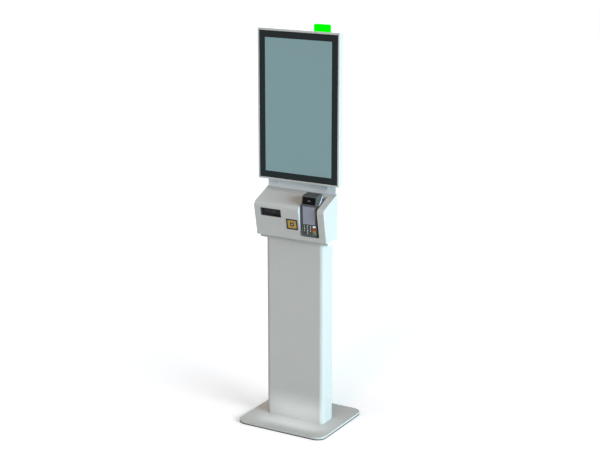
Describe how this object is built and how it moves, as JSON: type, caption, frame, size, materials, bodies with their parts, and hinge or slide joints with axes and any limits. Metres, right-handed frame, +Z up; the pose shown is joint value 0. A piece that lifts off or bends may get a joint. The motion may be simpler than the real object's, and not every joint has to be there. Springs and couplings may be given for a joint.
{
  "type": "self-ordering kiosk",
  "caption": "Floor-standing self-ordering kiosk with a portrait touch screen, receipt slot, code scanner, keypad payment terminal and green status light on a column and base plate.",
  "frame": {"origin": "on the floor, under the middle of the base plate", "axes": "+Z up, the screen and the front cover face -Y, +X to the customer's right"},
  "size_m": [0.45, 0.4, 1.828],
  "materials": {
    "paint": "satin powder coat",
    "frame_paint": "smooth satin paint",
    "bracket_paint": "satin paint",
    "steel": "zinc plated",
    "lock_metal": "satin",
    "rubber": "matt",
    "black_plastic": "fine grain",
    "printer_plastic": "fine grain",
    "supply_case": "folded sheet",
    "lead_jacket": "matt",
    "paper": "paper",
    "ochre_plastic": "satin",
    "dark_window": "polished",
    "terminal_plastic": "fine grain",
    "hood_plastic": "fine grain",
    "terminal_display": "backlit, blank",
    "dark_key": "matt",
    "white_key": "satin",
    "red_key": "satin",
    "yellow_key": "satin",
    "green_key": "satin",
    "glass": "polished, black printed border behind",
    "display": "blank",
    "green_lens": "translucent, lit"
  },
  "bodies": {
    "stand": {"base_plate": "paint", "foot_pads": "rubber", "column_shell": "paint", "column_end_plates": "steel", "fixings": "steel", "service_panel": "paint", "power_inlet": "black_plastic", "power_supply": "supply_case", "inner_leads": "lead_jacket", "spine": "steel", "module_floor": "paint", "module_box": "paint", "hinge_fixed_leaves": "steel", "lock_housings": "paint", "printer_frame": "steel", "print_head": "printer_plastic", "roll_spindle": "steel", "screen_frame": "frame_paint", "touch_glass": "glass", "display_panel": "display", "screen_rails": "steel", "computer": "supply_case", "camera": "black_plastic", "rear_housing": "frame_paint", "status_light": "green_lens"},
    "cover": {"front_cover": "paint", "cover_fittings": "steel", "receipt_chute": "black_plastic", "scanner_bezel": "black_plastic", "scanner_face": "ochre_plastic", "scanner_window": "dark_window", "scanner_module": "printer_plastic", "terminal_pocket": "paint", "terminal_bracket": "bracket_paint", "terminal_body": "terminal_plastic", "terminal_hood": "hood_plastic", "terminal_reader_window": "dark_window", "terminal_screen": "terminal_display"},
    "left_lock_core": {"left_lock": "lock_metal"},
    "right_lock_core": {"right_lock": "lock_metal"},
    "mains_switch": {"power_rocker": "black_plastic"},
    "platen": {"platen_roller": "rubber"},
    "roll": {"paper_roll": "paper"},
    "cutter": {"cutter_blade": "steel"},
    "key_1_cap": {"key_1": "dark_key"},
    "key_2_cap": {"key_2": "dark_key"},
    "key_3_cap": {"key_3": "dark_key"},
    "key_4_cap": {"key_4": "dark_key"},
    "key_5_cap": {"key_5": "dark_key"},
    "key_6_cap": {"key_6": "dark_key"},
    "key_7_cap": {"key_7": "dark_key"},
    "key_8_cap": {"key_8": "dark_key"},
    "key_9_cap": {"key_9": "dark_key"},
    "key_star_cap": {"key_star": "dark_key"},
    "key_0_cap": {"key_0": "dark_key"},
    "key_hash_cap": {"key_hash": "dark_key"},
    "key_menu_cap": {"key_menu": "white_key"},
    "key_cancel_cap": {"key_cancel": "red_key"},
    "key_clear_cap": {"key_clear": "yellow_key"},
    "key_enter_cap": {"key_enter": "green_key"}
  },
  "joints": [
    {"name": "cover_hinge", "type": "hinge", "parent": "stand", "child": "cover", "pos_m": [0, -0.066, 0.888], "axis": [1, 0, 0], "range_deg": [0, 75]},
    {"name": "left_lock_turn", "type": "hinge", "parent": "stand", "child": "left_lock_core", "pos_m": [-0.126, 0.016, 1.108], "axis": [0, 1, 0], "range_deg": [0, 90]},
    {"name": "right_lock_turn", "type": "hinge", "parent": "stand", "child": "right_lock_core", "pos_m": [0.126, 0.016, 1.108], "axis": [0, 1, 0], "range_deg": [-90, 0]},
    {"name": "mains_switch_rock", "type": "hinge", "parent": "stand", "child": "mains_switch", "pos_m": [-0.013, 0.0485, 0.063], "axis": [1, 0, 0], "range_deg": [-20, 0]},
    {"name": "paper_roll_turn", "type": "hinge", "parent": "stand", "child": "roll", "pos_m": [-0.094, -0.03, 0.9325], "axis": [1, 0, 0], "continuous": true},
    {"name": "platen_turn", "type": "hinge", "parent": "stand", "child": "platen", "pos_m": [-0.094, -0.05, 1.00517], "axis": [1, 0, 0], "continuous": true},
    {"name": "cutter_stroke", "type": "slide", "parent": "stand", "child": "cutter", "axis": [0, 0, -1], "range_m": [0, 0.008], "stiffness_N_per_m": 200, "springref_m": -0.004},
    {"name": "key_1_press", "type": "slide", "parent": "cover", "child": "key_1_cap", "axis": [0, 0.9993, 0.0384], "range_m": [0, 0.001], "stiffness_N_per_m": 300, "springref_m": -0.001},
    {"name": "key_2_press", "type": "slide", "parent": "cover", "child": "key_2_cap", "axis": [0, 0.9993, 0.0384], "range_m": [0, 0.001], "stiffness_N_per_m": 300, "springref_m": -0.001},
    {"name": "key_3_press", "type": "slide", "parent": "cover", "child": "key_3_cap", "axis": [0, 0.9993, 0.0384], "range_m": [0, 0.001], "stiffness_N_per_m": 300, "springref_m": -0.001},
    {"name": "key_4_press", "type": "slide", "parent": "cover", "child": "key_4_cap", "axis": [0, 0.9993, 0.0384], "range_m": [0, 0.001], "stiffness_N_per_m": 300, "springref_m": -0.001},
    {"name": "key_5_press", "type": "slide", "parent": "cover", "child": "key_5_cap", "axis": [0, 0.9993, 0.0384], "range_m": [0, 0.001], "stiffness_N_per_m": 300, "springref_m": -0.001},
    {"name": "key_6_press", "type": "slide", "parent": "cover", "child": "key_6_cap", "axis": [0, 0.9993, 0.0384], "range_m": [0, 0.001], "stiffness_N_per_m": 300, "springref_m": -0.001},
    {"name": "key_7_press", "type": "slide", "parent": "cover", "child": "key_7_cap", "axis": [0, 0.9993, 0.0384], "range_m": [0, 0.001], "stiffness_N_per_m": 300, "springref_m": -0.001},
    {"name": "key_8_press", "type": "slide", "parent": "cover", "child": "key_8_cap", "axis": [0, 0.9993, 0.0384], "range_m": [0, 0.001], "stiffness_N_per_m": 300, "springref_m": -0.001},
    {"name": "key_9_press", "type": "slide", "parent": "cover", "child": "key_9_cap", "axis": [0, 0.9993, 0.0384], "range_m": [0, 0.001], "stiffness_N_per_m": 300, "springref_m": -0.001},
    {"name": "key_star_press", "type": "slide", "parent": "cover", "child": "key_star_cap", "axis": [0, 0.9993, 0.0384], "range_m": [0, 0.001], "stiffness_N_per_m": 300, "springref_m": -0.001},
    {"name": "key_0_press", "type": "slide", "parent": "cover", "child": "key_0_cap", "axis": [0, 0.9993, 0.0384], "range_m": [0, 0.001], "stiffness_N_per_m": 300, "springref_m": -0.001},
    {"name": "key_hash_press", "type": "slide", "parent": "cover", "child": "key_hash_cap", "axis": [0, 0.9993, 0.0384], "range_m": [0, 0.001], "stiffness_N_per_m": 300, "springref_m": -0.001},
    {"name": "key_menu_press", "type": "slide", "parent": "cover", "child": "key_menu_cap", "axis": [0, 0.9993, 0.0384], "range_m": [0, 0.001], "stiffness_N_per_m": 300, "springref_m": -0.001},
    {"name": "key_cancel_press", "type": "slide", "parent": "cover", "child": "key_cancel_cap", "axis": [0, 0.9993, 0.0384], "range_m": [0, 0.001], "stiffness_N_per_m": 300, "springref_m": -0.001},
    {"name": "key_clear_press", "type": "slide", "parent": "cover", "child": "key_clear_cap", "axis": [0, 0.9993, 0.0384], "range_m": [0, 0.001], "stiffness_N_per_m": 300, "springref_m": -0.001},
    {"name": "key_enter_press", "type": "slide", "parent": "cover", "child": "key_enter_cap", "axis": [0, 0.9993, 0.0384], "range_m": [0, 0.001], "stiffness_N_per_m": 300, "springref_m": -0.001}
  ],
  "couplings": [
    {"joint": "platen_turn", "follows": "paper_roll_turn", "ratio": -5.625}
  ]
}
